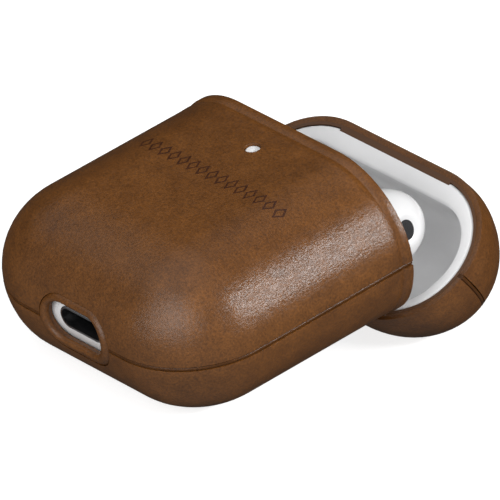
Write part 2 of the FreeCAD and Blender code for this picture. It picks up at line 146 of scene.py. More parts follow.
def area_light(name, direction, distance, size, power):
    """A rectangular light, aimed at the case from a direction in the frame."""
    lamp = bpy.data.lights.new(name, "AREA")
    lamp.shape = "RECTANGLE"
    lamp.size, lamp.size_y = size
    lamp.energy = power
    obj = bpy.data.objects.new(name, lamp)
    aim = Vector(direction).normalized()
    obj.location = aim * distance
    obj.rotation_euler = aim.to_track_quat("Z", "Y").to_euler()
    bpy.context.collection.objects.link(obj)


floor = make_floor()
floor.visible_diffuse = False
floor.visible_glossy = False
for light in LIGHTS:
    area_light(*light)
bpy.context.scene.view_settings.view_transform = "Standard"
print("floor and", len(LIGHTS), "lights")

# %% [markdown]
# The cover is a pillow: a rectangle with round corners whose edges curve elliptically to the front and the
# back. One grid makes the flat face, its corners are bevelled into small arcs, and its outline is extruded
# again and again, each new loop pushed out along the outline and down the curve.

# %% Pillow surface
# Degrees round the edge, and the share of the fullness there.
BULGE = [(0.0, 0.0), (10.0, 0.1), (44.0, 1.0), (74.0, 0.0)]


def profile_at(table, d):
    """A smooth value between the (distance, value) rows of a table."""
    for (d0, v0), (d1, v1) in zip(table, table[1:]):
        if d0 <= d <= d1:
            t = (d - d0) / (d1 - d0)
            return v0 + (v1 - v0) * t * t * (3 - 2 * t)
    return table[-1][1] if d > table[-1][0] else table[0][1]


class Pillow:
    """The case's closed form, offset inwards from the cover's outside."""

    def __init__(
        self,
        inwards=0.0,
        half_width=None,
        y=None,
        front=None,
        back=None,
        corner=None,
        edge=None,
        full=0.0,
    ):
        self.half_width = half_width or WIDTH / 2 - inwards
        self.y = y or (inwards, HEIGHT - inwards)
        self.front = front or HALF_DEPTH - inwards
        self.back = back or HALF_DEPTH - inwards
        self.corner = corner or CORNER - inwards
        self.edge = edge or EDGE - inwards
        self.full = full

    def core(self, x, y):
        """The nearest point of the flat middle, and the outward direction from it."""
        cx = max(-(self.half_width - self.corner), min(self.half_width - self.corner, x))
        cy = max(self.y[0] + self.corner, min(self.y[1] - self.corner, y))
        out = Vector((x - cx, y - cy, 0))
        return Vector((cx, cy, 0)), out.normalized()

    def point(self, x, y, angle):
        """Where the outline point (x, y) goes, at an angle from the widest level; the back's are negative."""
        middle, out = self.core(x, y)
        reach = self.corner - self.edge + self.edge * math.cos(angle)
        depth = self.front if angle >= 0 else self.back
        place = middle + out * reach + Vector((0, 0, depth * math.sin(angle)))
        if angle < 0:
            place += (out * math.cos(angle) + Vector((0, 0, math.sin(angle)))) * self.bulge(-angle)
        return place

    def bulge(self, angle):
        """How far the back's rounding stands out past the ellipse, most of all half way round."""
        return self.full * profile_at(BULGE, math.degrees(angle))


def pillow_half(shape, side, last_angle, steps=14, grid=(10, 14), arc=10):
    """The front (side 1) or back (side -1) of a pillow, from its flat face to a last angle."""
    bm = bmesh.new()
    bmesh.ops.create_grid(bm, x_segments=grid[0], y_segments=grid[1], size=1.0)
    flat = shape.corner - shape.edge
    half_x = shape.half_width - shape.edge
    half_y = (shape.y[1] - shape.y[0]) / 2 - shape.edge
    middle = Vector((0, (shape.y[0] + shape.y[1]) / 2, side * (shape.front if side > 0 else shape.back)))
    for v in bm.verts:
        v.co = Vector((v.co.x * half_x, v.co.y * half_y, 0)) + middle
    tips = [v for v in bm.verts if len(v.link_edges) == 2]
    bmesh.ops.bevel(
        bm,
        geom=tips,
        offset=flat,
        offset_type="OFFSET",
        segments=arc,
        profile=0.5,
        affect="VERTICES",
        material=-1,
    )
    loop = [e for e in bm.edges if e.is_boundary]
    start = math.pi / 2
    for step in range(1, steps + 1):
        angle = start + (last_angle * side - start) * step / steps
        made = bmesh.ops.extrude_edge_only(bm, edges=loop)
        for v in [g for g in made["geom"] if isinstance(g, bmesh.types.BMVert)]:
            v.co = shape.point(v.co.x, v.co.y, side * angle)
        loop = [g for g in made["geom"] if isinstance(g, bmesh.types.BMEdge) and g.is_boundary]
    bmesh.ops.recalc_face_normals(bm, faces=bm.faces)
    return bm


print("pillow helpers ready")

# %% [markdown]
# Every finish is a small node tree on object coordinates. A mapping turns them into the case's own
# millimetres, so grain and patterns sit still on a piece, whichever way the piece lies in the frame.

# %% Material helpers


def new_material(name):
    """A material with a Principled BSDF, its node tree and that shader node."""
    material = bpy.data.materials.new(name)
    material.use_nodes = True
    return material, material.node_tree, material.node_tree.nodes["Principled BSDF"]


def add(tree, kind, values=(), **settings):
    """A node with settings, and with values for its named or numbered inputs."""
    node = tree.nodes.new(kind)
    for key, value in settings.items():
        setattr(node, key, value)
    for key, value in dict(values).items():
        node.inputs[key].default_value = value
    return node


def own_coordinates(tree, place):
    """Object coordinates turned into the millimetres in which a piece was modelled."""
    coordinates = add(tree, "ShaderNodeTexCoord")
    location, rotation, scale = place.inverted().decompose()
    mapping = add(
        tree,
        "ShaderNodeMapping",
        {"Location": location, "Rotation": rotation.to_euler(), "Scale": scale},
    )
    tree.links.new(coordinates.outputs["Object"], mapping.inputs["Vector"])
    return mapping.outputs["Vector"]


def ramp(tree, source, stops):
    """A colour ramp with (position, colour) stops."""
    node = add(tree, "ShaderNodeValToRGB")
    elements = node.color_ramp.elements
    while len(elements) < len(stops):
        elements.new(0.5)
    for element, (position, colour) in zip(elements, stops):
        element.position = position
        element.color = (*colour, 1)
    tree.links.new(source, node.inputs["Fac"])
    return node.outputs["Color"]


def maths(tree, operation, *sources):
    """A maths node fed with sockets or plain numbers."""
    node = add(tree, "ShaderNodeMath", operation=operation)
    for number, source in enumerate(sources):
        if isinstance(source, (int, float)):
            node.inputs[number].default_value = source
        else:
            tree.links.new(source, node.inputs[number])
    return node.outputs["Value"]


print("material helpers ready")

# %% [markdown]
# The room is pale behind the camera and dark opposite it, which keeps the flat leather free of haze. It is a
# little brighter below the floor's level, where only undersides see it.

# %% Room
BRIGHT_SIDE = (0.745, -0.667, 0.0)
SIDE_LEVELS = {"From Min": -0.6, "From Max": 0.9, "To Min": 0.04, "To Max": 0.5}
HEIGHT_LEVELS = {"From Min": -0.1, "From Max": 0.1, "To Min": 1.2, "To Max": 1.0}


def make_room():
    """A world whose strength depends only on the direction."""
    room = bpy.data.worlds.new("studio")
    bpy.context.scene.world = room
    room.use_nodes = True
    tree = room.node_tree
    direction = add(tree, "ShaderNodeTexCoord").outputs["Generated"]
    facing = add(tree, "ShaderNodeVectorMath", operation="DOT_PRODUCT")
    facing.inputs[1].default_value = BRIGHT_SIDE
    tree.links.new(direction, facing.inputs[0])
    behind = add(tree, "ShaderNodeMapRange", SIDE_LEVELS)
    tree.links.new(facing.outputs["Value"], behind.inputs["Value"])
    split = add(tree, "ShaderNodeSeparateXYZ")
    tree.links.new(direction, split.inputs["Vector"])
    above = add(tree, "ShaderNodeMapRange", HEIGHT_LEVELS)
    tree.links.new(split.outputs["Z"], above.inputs["Value"])
    level = maths(tree, "MULTIPLY", behind.outputs["Result"], above.outputs["Result"])
    tree.links.new(level, tree.nodes["Background"].inputs["Strength"])
    tree.nodes["Background"].inputs["Color"].default_value = (1, 1, 1, 1)


make_room()
print("room ready")

# %% [markdown]
# Burnished cowhide has cloudy darker patches where the dye took, a very fine pebble and shallow stretched
# wrinkles, and a satin polish that is a little broken up by them. Several leather pieces use it, so it is one
# node group with its colours and its wrinkle strength as inputs.

# %% Leather group
HIDE_SOCKETS = [
    ("INPUT", "Vector", "NodeSocketVector"),
    ("INPUT", "Light", "NodeSocketColor"),
    ("INPUT", "Dark", "NodeSocketColor"),
    ("INPUT", "Wrinkles", "NodeSocketFloat"),
    ("OUTPUT", "Color", "NodeSocketColor"),
    ("OUTPUT", "Roughness", "NodeSocketFloat"),
    ("OUTPUT", "Height", "NodeSocketFloat"),
]
WRINKLE_STRETCH = {"Scale": (2.6, 0.55, 1.4), "Rotation": (0.2, 0.1, 0.5)}
FOLD_SHARPNESS = 14.0
CLOUD_SHARE, PATCH_SHARE = 0.62, 0.38
TONE_RANGE = {"From Min": 0.28, "From Max": 0.68}
PORE_RANGE = {"From Min": 0.3, "From Max": 0.7, "To Min": 0.62, "To Max": 1.32}
ROUGHNESS_RANGE = {"To Min": 0.27, "To Max": 0.35}
FINE_RELIEF, FOLD_RELIEF, BROAD_RELIEF = 0.42, -0.12, 0.4


def make_hide_group():
    """Colour, roughness and relief of the hide, from its own millimetres."""
    group = bpy.data.node_groups.new("burnished_hide", "ShaderNodeTree")
    for way, name, kind in HIDE_SOCKETS:
        group.interface.new_socket(name=name, in_out=way, socket_type=kind)
    source = add(group, "NodeGroupInput")
    result = add(group, "NodeGroupOutput")
    link = group.links.new
    vector = source.outputs["Vector"]

    def noise(scale, detail, rough, vector=vector, distortion=0.0):
        values = {"Scale": scale, "Detail": detail, "Roughness": rough, "Distortion": distortion}
        node = add(group, "ShaderNodeTexNoise", values)
        link(vector, node.inputs["Vector"])
        return node.outputs["Fac"]

    clouds = noise(0.09, 4.0, 0.6, distortion=0.6)
    patches = noise(0.42, 2.0, 0.5)
    pebble = noise(3.1, 3.0, 0.65)
    stretch = add(group, "ShaderNodeMapping", WRINKLE_STRETCH)
    link(vector, stretch.inputs["Vector"])
    wrinkles = noise(0.9, 3.0, 0.6, vector=stretch.outputs["Vector"], distortion=1.4)
    folds = maths(group, "ABSOLUTE", maths(group, "SUBTRACT", wrinkles, 0.5))
    folds = maths(group, "MINIMUM", maths(group, "MULTIPLY", folds, FOLD_SHARPNESS), 1.0)
    folds = maths(group, "SUBTRACT", 1.0, folds)
    cloudy = maths(group, "MULTIPLY", clouds, CLOUD_SHARE)
    patchy = maths(group, "MULTIPLY", patches, PATCH_SHARE)
    tone = add(group, "ShaderNodeMapRange", TONE_RANGE)
    link(maths(group, "ADD", cloudy, patchy), tone.inputs["Value"])
    mix = add(group, "ShaderNodeMix", data_type="RGBA")
    link(tone.outputs["Result"], mix.inputs["Factor"])
    link(source.outputs["Dark"], mix.inputs["A"])
    link(source.outputs["Light"], mix.inputs["B"])
    pores = add(group, "ShaderNodeMapRange", PORE_RANGE)
    link(pebble, pores.inputs["Value"])
    tint = add(group, "ShaderNodeMix", {"Factor": 1.0}, data_type="RGBA", blend_type="MULTIPLY")
    link(mix.outputs["Result"], tint.inputs["A"])
    link(pores.outputs["Result"], tint.inputs["B"])
    link(tint.outputs["Result"], result.inputs["Color"])
    rough = add(group, "ShaderNodeMapRange", ROUGHNESS_RANGE)
    link(patches, rough.inputs["Value"])
    link(rough.outputs["Result"], result.inputs["Roughness"])
    fine = maths(group, "MULTIPLY", pebble, FINE_RELIEF)
    lines = maths(group, "MULTIPLY", folds, source.outputs["Wrinkles"])
    lines = maths(group, "MULTIPLY", lines, FOLD_RELIEF)
    broad = maths(group, "MULTIPLY", patches, BROAD_RELIEF)
    link(maths(group, "ADD", maths(group, "ADD", fine, lines), broad), result.inputs["Height"])
    return group


hide_group = make_hide_group()
print("leather group with", len(hide_group.nodes), "nodes")

# %% [markdown]
# The front of the base carries a tooled row: a line of small pressed lozenges. It is drawn as a mask in the
# case's own millimetres, which darkens the leather and presses it in. The welts' hide is duller, and its
# darker tones are painted shade for the seam's groove.

# %% Leather materials
ROW_AT = (0.9, 26.3)
ROW_HALF_LENGTH = 15.0
ROW_PITCH = 2.0
# Whole pitches keep the modulo's input positive, and the half one puts a lozenge in the row's middle.
ROW_SHIFT = 100.5 * ROW_PITCH
ROW_LOZENGE = (0.85, 1.45)
ROW_LINE_AT, ROW_LINE_HALF = 0.80, 0.20
ROW_TINT = (0.38, 0.30, 0.38, 1)
ROW_RELIEF = 0.9
HIDE_LIGHT = (0.150, 0.055, 0.0105, 1)
HIDE_DARK = (0.085, 0.030, 0.0055, 1)
HIDE_BUMP, HIDE_SHINE = 0.16, 0.40
# The welts' darker tones are painted shade for the groove of the seam.
SHADED_WELT_LIGHT = (0.085, 0.031, 0.0065, 1)
SHADED_WELT_DARK = (0.050, 0.018, 0.004, 1)
WELT_WRINKLES, WELT_SHINE = 0.3, 0.18


def tooled_row(tree, vector):
    """A mask that is 1 along the outlines of the pressed lozenges."""
    split = add(tree, "ShaderNodeSeparateXYZ")
    tree.links.new(vector, split.inputs["Vector"])
    x, y, z = (split.outputs[k] for k in "XYZ")
    along = maths(tree, "ADD", x, ROW_SHIFT - ROW_AT[0])
    cell = maths(tree, "SUBTRACT", maths(tree, "MODULO", along, ROW_PITCH), ROW_PITCH / 2)
    across = maths(tree, "SUBTRACT", y, ROW_AT[1])
    lozenge = maths(
        tree,
        "ADD",
        maths(tree, "DIVIDE", maths(tree, "ABSOLUTE", cell), ROW_LOZENGE[0]),
        maths(tree, "DIVIDE", maths(tree, "ABSOLUTE", across), ROW_LOZENGE[1]),
    )
    outline = maths(tree, "ABSOLUTE", maths(tree, "SUBTRACT", lozenge, ROW_LINE_AT))
    inside = maths(tree, "LESS_THAN", outline, ROW_LINE_HALF)
    off_middle = maths(tree, "ABSOLUTE", maths(tree, "SUBTRACT", x, ROW_AT[0]))
    end = maths(tree, "LESS_THAN", off_middle, ROW_HALF_LENGTH)
    front = maths(tree, "GREATER_THAN", z, HALF_DEPTH / 2)
    return maths(tree, "MULTIPLY", maths(tree, "MULTIPLY", inside, end), front)


def leather(name, place, light=HIDE_LIGHT, dark=HIDE_DARK, wrinkles=1.0, shine=HIDE_SHINE, row=False):
    """A leather in the millimetres of one half of the cover, with or without the tooled row."""
    material, tree, shader = new_material(name)
    vector = own_coordinates(tree, place)
    hide = add(tree, "ShaderNodeGroup", {}, node_tree=hide_group)
    hide.inputs["Light"].default_value = light
    hide.inputs["Dark"].default_value = dark
    hide.inputs["Wrinkles"].default_value = wrinkles
    tree.links.new(vector, hide.inputs["Vector"])
    colour, height = hide.outputs["Color"], hide.outputs["Height"]
    if row:
        mask = tooled_row(tree, vector)
        mix = add(tree, "ShaderNodeMix", data_type="RGBA", blend_type="MULTIPLY")
        mix.inputs["B"].default_value = ROW_TINT
        tree.links.new(mask, mix.inputs["Factor"])
        tree.links.new(colour, mix.inputs["A"])
        colour = mix.outputs["Result"]
        height = maths(tree, "SUBTRACT", height, maths(tree, "MULTIPLY", mask, ROW_RELIEF))
    press = add(tree, "ShaderNodeBump", {"Strength": HIDE_BUMP, "Distance": MM})
    tree.links.new(height, press.inputs["Height"])
    tree.links.new(press.outputs["Normal"], shader.inputs["Normal"])
    tree.links.new(colour, shader.inputs["Base Color"])
    tree.links.new(hide.outputs["Roughness"], shader.inputs["Roughness"])
    shader.inputs["Specular IOR Level"].default_value = shine
    return material


base_leather = leather("base_leather", OWN, row=True)
lid_leather = leather("lid_leather", LID)
# The welts' darker leathers: painted shade for the seam's groove.
base_welt_shaded = leather("base_welt_shaded", OWN, SHADED_WELT_LIGHT, SHADED_WELT_DARK, WELT_WRINKLES, WELT_SHINE)
lid_welt_shaded = leather("lid_welt_shaded", LID, SHADED_WELT_LIGHT, SHADED_WELT_DARK, WELT_WRINKLES, WELT_SHINE)
print("leather materials ready")

# %% [markdown]
# The white case and the earbuds are glossy moulded plastic. A very faint unevenness in tone and polish keeps
# them from looking like computer white. The parts inside have simple finishes of the same kind.

# %% Plastic, metal and small finishes
TONE_STOPS = (0.3, 0.7)
ROUGHNESS_SPREAD = 0.15
FLOOR_GREY = (0.5, 0.5, 0.5, 1)
FLOOR_GLOW = 0.80


def plain(name, colour, roughness, metallic=0.0, spread=0.04, scale=0.35, coat=0.0, bump=0.0, grain=None):
    """A finish with slight procedural variation of its tone and its roughness."""
    material, tree, shader = new_material(name)
    vector = own_coordinates(tree, OWN)
    if grain:
        stretch = add(tree, "ShaderNodeMapping", {"Scale": grain})
        tree.links.new(vector, stretch.inputs["Vector"])
        vector = stretch.outputs["Vector"]
    noise = add(tree, "ShaderNodeTexNoise", {"Scale": scale, "Detail": 4.0})
    tree.links.new(vector, noise.inputs["Vector"])
    low = tuple(c * (1 - spread) for c in colour)
    high = tuple(min(c * (1 + spread), 1.0) for c in colour)
    shade = ramp(tree, noise.outputs["Fac"], list(zip(TONE_STOPS, (low, high))))
    tree.links.new(shade, shader.inputs["Base Color"])
    least, most = roughness * (1 - ROUGHNESS_SPREAD), roughness * (1 + ROUGHNESS_SPREAD)
    rough = add(tree, "ShaderNodeMapRange", {"To Min": least, "To Max": most})
    tree.links.new(noise.outputs["Fac"], rough.inputs["Value"])
    tree.links.new(rough.outputs["Result"], shader.inputs["Roughness"])
    if bump:
        press = add(tree, "ShaderNodeBump", {"Strength": bump, "Distance": MM})
        tree.links.new(noise.outputs["Fac"], press.inputs["Height"])
        tree.links.new(press.outputs["Normal"], shader.inputs["Normal"])
    shader.inputs["Metallic"].default_value = metallic
    shader.inputs["Coat Weight"].default_value = coat
    return material


def floor_finish():
    """A pale sweep that is lit evenly, so that only a faint contact shadow shows."""
    material, _, shader = new_material("pale_floor")
    shader.inputs["Base Color"].default_value = FLOOR_GREY
    shader.inputs["Roughness"].default_value = 0.9
    shader.inputs["Specular IOR Level"].default_value = 0.0
    shader.inputs["Emission Color"].default_value = (1, 1, 1, 1)
    shader.inputs["Emission Strength"].default_value = FLOOR_GLOW
    return material


white_plastic = plain("white_plastic", (0.82, 0.82, 0.825), 0.25, spread=0.015, coat=0.3)
finishes = {
    "white_plastic": white_plastic,
    "cover_shell": plain("cover_shell", (0.085, 0.033, 0.009), 0.5),
    "adhesive": plain("adhesive", (0.70, 0.70, 0.66), 0.6),
    "hinge_steel": plain("hinge_steel", (0.62, 0.62, 0.63), 0.28, 1.0, grain=(0.2, 6.0, 6.0), scale=1.0),
    "magnet": plain("magnet", (0.55, 0.55, 0.56), 0.35, 1.0),
    "port_steel": plain("port_steel", (0.30, 0.30, 0.31), 0.3, 1.0, grain=(0.5, 3.0, 3.0)),
    "black_plastic": plain("black_plastic", (0.012, 0.012, 0.013), 0.4, bump=0.05, scale=6.0),
    "board": plain("board", (0.01, 0.09, 0.045), 0.45, spread=0.2, scale=1.2),
    "battery_foil": plain("battery_foil", (0.58, 0.58, 0.6), 0.45, 0.8, bump=0.1),
    "foam": plain("foam", (0.03, 0.03, 0.03), 0.9, spread=0.3, scale=5.0, bump=0.4),
    "copper": plain("copper", (0.62, 0.25, 0.12), 0.35, 1.0, grain=(3.0, 3.0, 0.5)),
    "ferrite": plain("ferrite", (0.07, 0.07, 0.075), 0.55, spread=0.15, scale=3.0),
    "clear_plastic": plain("clear_plastic", (0.9, 0.9, 0.88), 0.2),
    "light_chip": plain("light_chip", (0.9, 0.85, 0.6), 0.3),
    "gold_contact": plain("gold_contact", (0.8, 0.55, 0.2), 0.25, 1.0),
    "metal_cap": plain("metal_cap", (0.75, 0.75, 0.76), 0.15, 1.0, grain=(4.0, 0.3, 4.0)),
    "silicone": plain("silicone", (0.75, 0.75, 0.75), 0.55, bump=0.03, scale=4.0),
    "black_mesh": plain("black_mesh", (0.015, 0.015, 0.017), 0.45, spread=0.5, scale=9.0, bump=0.5),
    "tan_leather": base_leather,
    "leather_edge": base_welt_shaded,
}
floor.data.materials.append(floor_finish())
for part in frame["record"]["subparts"]:
    obj = frame["nodes"][part["node"]]
    obj.data.materials.clear()
    obj.data.materials.append(finishes[part["material_slot"]])
print(len(finishes), "finishes on", len(frame["nodes"]), "CAD nodes")

# %% [markdown]
# The leather halves of the base: thick hide wrapped over the form, pressed thin along a line near the lip and
# slightly flared at it. Extra loops are cut along the lip to carry that line, then the surface gets its
# thickness and its edges are rounded, and the holes are cut last.

# %% Leather halves
HIDE = 0.95
BACK_FULLNESS = 0.33
WELT = 0.7
# Distance from the lip, and how far the hide stands out there.
LIP_LINE = [(0.0, 0.20), (0.9, 0.20), (1.3, 0.02), (1.55, -0.12), (1.8, -0.04), (2.4, 0.05), (4.0, 0.0)]
LIP_LOOPS = (0.45, 0.9, 1.1, 1.3, 1.42, 1.55, 1.68, 1.8, 2.1, 2.4, 3.2, 4.0)
HALF_STEPS, HALF_ARC = 18, 14
PORT_CUT = (14.7, 9.0)
RIM_DROP = 0.38
LIGHT_UP, LIGHT_HOLE = 34.4, 1.2
BUTTON_UP, BUTTON_HOLE = 21.0, 5.0
HOLE_LENGTH = 8.0
HINGE_HALF, HINGE_LOW, HINGE_LEVEL = 11.0, 34.4, -6.0
SEAM_ANGLES = {side: math.asin((SEAM + side * WELT / 2) / HALF_DEPTH) for side in (1, -1)}


def cut(bm, y, keep):
    """Cuts along a plane across y; keep is 'low', 'high' or 'both'."""
    bmesh.ops.bisect_plane(
        bm,
        geom=bm.verts[:] + bm.edges[:] + bm.faces[:],
        plane_co=(0, y, 0),
        plane_no=(0, 1, 0),
        clear_outer=keep == "low",
        clear_inner=keep == "high",
    )


def press_lip(bm, edge, sign, table):
    """Moves the hide in or out along its normal, by its distance from the lip."""
    bm.normal_update()
    moves = [(v, v.normal.copy(), sign * (edge - v.co.y)) for v in bm.verts]
    for v, normal, d in moves:
        out = Vector((normal.x, 0, normal.z)).normalized()
        v.co += out * profile_at(table, max(d, 0.0))


def solid_box(x, y, z):
    """A box between two values on each axis."""
    bm = bmesh.new()
    bmesh.ops.create_cube(bm, size=1.0)
    for v in bm.verts:
        v.co = Vector([low + (high - low) * (c + 0.5) for c, (low, high) in zip(v.co, (x, y, z))])
    return bm


def solid_rod(centre, radius, depth, turn=Matrix.Identity(4), segments=48):
    """A round rod along z, before its turn."""
    bm = bmesh.new()
    bmesh.ops.create_cone(
        bm,
        cap_ends=True,
        segments=segments,
        radius1=radius,
        radius2=radius,
        depth=depth,
        matrix=Matrix.Translation(centre) @ turn,
    )
    return bm


def finish_piece(obj, modifiers=(), cutters=()):
    """Applies modifiers and cutters, and leaves one plain mesh."""
    for kind, values in modifiers:
        modifier = obj.modifiers.new(kind.lower(), kind)
        for key, value in values.items():
            setattr(modifier, key, value)
    for cutter in cutters:
        modifier = obj.modifiers.new("cut", "BOOLEAN")
        modifier.operation = "DIFFERENCE"
        modifier.solver = "EXACT"
        modifier.use_self = True
        modifier.object = cutter
    bpy.context.view_layer.update()
    evaluated = obj.evaluated_get(bpy.context.evaluated_depsgraph_get())
    mesh = bpy.data.meshes.new_from_object(evaluated)
    obj.modifiers.clear()
    old = obj.data
    obj.data = mesh
    bpy.data.meshes.remove(old)
    for cutter in cutters:
        bpy.data.objects.remove(cutter, do_unlink=True)


def rounding(width, segments, degrees):
    """A bevel on the edges that are sharper than an angle."""
    limit = {"limit_method": "ANGLE", "angle_limit": math.radians(degrees)}
    return ("BEVEL", {"width": width * MM, "segments": segments, **limit})


def shell_modifiers():
    """The hide's thickness and its rounded edges."""
    thicken = ("SOLIDIFY", {"thickness": HIDE * MM, "offset": -1.0, "use_even_offset": True})
    return [thicken, rounding(0.18, 3, 50)]


def keep_angles(obj, degrees=40):
    """Smooth shading, with edges sharper than an angle left sharp."""
    obj.data.set_sharp_from_angle(angle=math.radians(degrees))


def dress(obj, material, body, slot, *nodes):
    """Material, body and the CAD nodes that a piece stands for; the slot argument is not used."""
    obj.data.materials.clear()
    obj.data.materials.append(material)
    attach(obj, body)
    if nodes:
        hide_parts(*nodes)
    print(f"{obj.name}: {len(obj.data.polygons)} faces")


def slot_solid(size, low, high, z, place):
    """A cutter with round ends, size across x and z, running along y at a height z."""
    along_y = Matrix.Rotation(math.pi / 2, 4, "X")
    bm = solid_rod(Vector((0, (low + high) / 2, z)), size[1] / 2, high - low, along_y)
    half = (size[0] - size[1]) / 2
    for v in bm.verts:
        v.co.x += half if v.co.x > 0 else -half
    return finish_mesh(bm, "cutter", place)


def hinge_box(low, high, place):
    """A cutter for the hinge's opening in the back, between two heights along y."""
    box = solid_box((-HINGE_HALF, HINGE_HALF), (low, high), (-20, HINGE_LEVEL))
    return finish_mesh(box, "cutter", place)


def base_cutters(side):
    """The port, with the light's hole in front or the button's hole and the hinge's opening in the back."""
    port = slot_solid(PORT_CUT, -5, 8, -RIM_DROP, OWN)
    if side > 0:
        window = solid_rod(Vector((0, LIGHT_UP, 12)), LIGHT_HOLE, HOLE_LENGTH)
        return [port, finish_mesh(window, "cutter", OWN)]
    button = solid_rod(Vector((0, BUTTON_UP, -12)), BUTTON_HOLE, HOLE_LENGTH)
    return [port, finish_mesh(button, "cutter", OWN), hinge_box(HINGE_LOW, 60, OWN)]


def base_half(side, name, node):
    """The front (side 1) or back (side -1) of the base's leather."""
    bm = pillow_half(Pillow(full=BACK_FULLNESS), side, SEAM_ANGLES[side], HALF_STEPS, arc=HALF_ARC)
    cut(bm, BASE_TOP, "low")
    for d in LIP_LOOPS:
        cut(bm, BASE_TOP - d, "both")
    press_lip(bm, BASE_TOP, 1, LIP_LINE)
    obj = finish_mesh(bm, name, OWN)
    finish_piece(obj, shell_modifiers(), base_cutters(side))
    keep_angles(obj)
    dress(obj, base_leather, "cover_base", "tan_leather", node)


base_half(1, "base_hide_front", "base_leather_front")
base_half(-1, "base_hide_back", "base_leather_back")

# %% [markdown]
# The lid's leather halves are the other end of the same form, built shut and swung open with the lid.

# %% Leather halves of the lid
LID_LINE = [(0.0, -0.12), (0.9, -0.08), (1.3, -0.06), (2.0, 0.0), (3.0, 0.06), (6.0, 0.0)]
LID_LOOPS = (0.45, 0.9, 1.1, 1.3, 1.42, 1.55, 1.8, 2.2, 2.6, 3.2, 4.0, 5.0)
HINGE_HIGH = 45.0


def lid_half(side, name, node):
    """The front (side 1) or back (side -1) of the lid's leather; the hinge's opening is in the back."""
    bm = pillow_half(Pillow(), side, SEAM_ANGLES[side], HALF_STEPS, arc=HALF_ARC)
    cut(bm, LID_BOTTOM, "high")
    for d in LID_LOOPS:
        cut(bm, LID_BOTTOM + d, "both")
    press_lip(bm, LID_BOTTOM, -1, LID_LINE)
    obj = finish_mesh(bm, name, LID)
    cutters = [hinge_box(30, HINGE_HIGH, LID)] if side < 0 else []
    finish_piece(obj, shell_modifiers(), cutters)
    keep_angles(obj)
    dress(obj, lid_leather, "lid", "tan_leather", node)


lid_half(1, "lid_hide_front", "lid_leather_front")
lid_half(-1, "lid_hide_back", "lid_leather_back")

# %% [markdown]
# A welt lies in the side seam between the leather halves: a thin rounded cord of hide with a crease on each
# side. On the base it runs from the lip round a corner to the port, once on each side, and on the lid it runs
# from rim to rim round the far end.

# %% Seam welts
# Across the seam, and outwards from the leather's outside.
WELT_SECTION = [
    (-0.31, -0.9),
    (-0.31, -0.22),
    (-0.18, -0.06),
    (0.0, 0.0),
    (0.18, -0.06),
    (0.31, -0.22),
    (0.31, -0.9),
]
PORT_SIDE = PORT_CUT[0] / 2


def outline_corner(side, end, steps=16):
    """Outline points round one corner of the case, from its straight side to the straight end."""
    far = HEIGHT - CORNER if end > 0 else CORNER
    angles = [math.pi / 2 * k / steps for k in range(steps + 1)]
    reach = WIDTH / 2 - CORNER
    return [(side * (reach + CORNER * math.cos(a)), far + end * CORNER * math.sin(a)) for a in angles]


def straight(start, end, count=12):
    """Points at even steps from one outline point to another."""
    return [tuple(a + (b - a) * k / count for a, b in zip(start, end)) for k in range(count + 1)]


def welt(name, route, place, material, body, node):
    """A strip with the welt's section, swept along outline points at the level of the seam."""
    shape = Pillow()
    bm = bmesh.new()
    rows = []
    for x, y in route:
        middle, out = shape.core(x, y)
        base = middle + out * shape.edge + Vector((0, 0, SEAM))
        base += out * (shape.corner - shape.edge)
        rows.append([bm.verts.new(base + Vector((0, 0, across)) + out * up) for across, up in WELT_SECTION])
    count = len(WELT_SECTION)
    for low, high in zip(rows, rows[1:]):
        for k in range(count):
            bm.faces.new((low[k], low[(k + 1) % count], high[(k + 1) % count], high[k]))
    bm.faces.new(rows[0])
    bm.faces.new(rows[-1][::-1])
    bmesh.ops.recalc_face_normals(bm, faces=bm.faces)
    obj = finish_mesh(bm, name, place)
    keep_angles(obj, 60)
    dress(obj, material, body, "tan_leather", node)


def base_welt(side, word):
    corner = outline_corner(side, -1)
    route = straight((side * WIDTH / 2, BASE_TOP), corner[0]) + corner[1:]
    route += straight(corner[-1], (side * PORT_SIDE, 0.0), 4)[1:]
    welt("base_welt_" + word, route, OWN, base_welt_shaded, "cover_base", "base_seam_welt")


def lid_welt():
    right, left = outline_corner(1, 1), outline_corner(-1, 1)
    route = straight((WIDTH / 2, LID_BOTTOM), right[0], 3) + right[1:]
    route += straight(right[-1], left[-1])[1:] + left[::-1][1:]
    route += straight(left[0], (-WIDTH / 2, LID_BOTTOM), 3)[1:]
    welt("lid_welt", route, LID, lid_welt_shaded, "lid", "lid_seam_welt")


base_welt(1, "right")
base_welt(-1, "left")
lid_welt()

# %% [markdown]
# The port's rim is a thick rounded ring of moulded hide round a slot, thicker below than above. Its loops
# follow the slot's outline, each at its own height over the curved end of the case and its own drop.

# %% Port rim
# Radius of the loop's ends, height over the leather, and how far the loop lies towards the back.
RIM_SECTION = [
    (4.50, -1.3, RIM_DROP),
    (4.50, -0.35, RIM_DROP),
    (4.38, -0.05, 0.36),
    (4.15, 0.2, 0.3),
    (3.8, 0.36, 0.2),
    (3.5, 0.38, 0.1),
    (3.2, 0.25, 0.0),
    (3.0, 0.0, 0.0),
    (2.9, -0.45, 0.0),
    (3.3, -0.6, 0.0),
    (3.3, -1.3, 0.0),
]
RIM_HALF_LENGTH = 2.85


def slot_outline(radius, steps=20):
    """Points (x, z) round a slot: its right end from the top down, then its left end from the bottom up."""
    points = []
    for side, start in ((1, 90), (-1, 270)):
        for k in range(steps + 1):
            angle = math.radians(start - 180 * k / steps)
            points.append((side * RIM_HALF_LENGTH + radius * math.cos(angle), radius * math.sin(angle)))
    return points


def end_level(z):
    """How far the case's rounded port end lies back at a height z."""
    return EDGE * (1 - math.sqrt(1 - (z / HALF_DEPTH) ** 2))


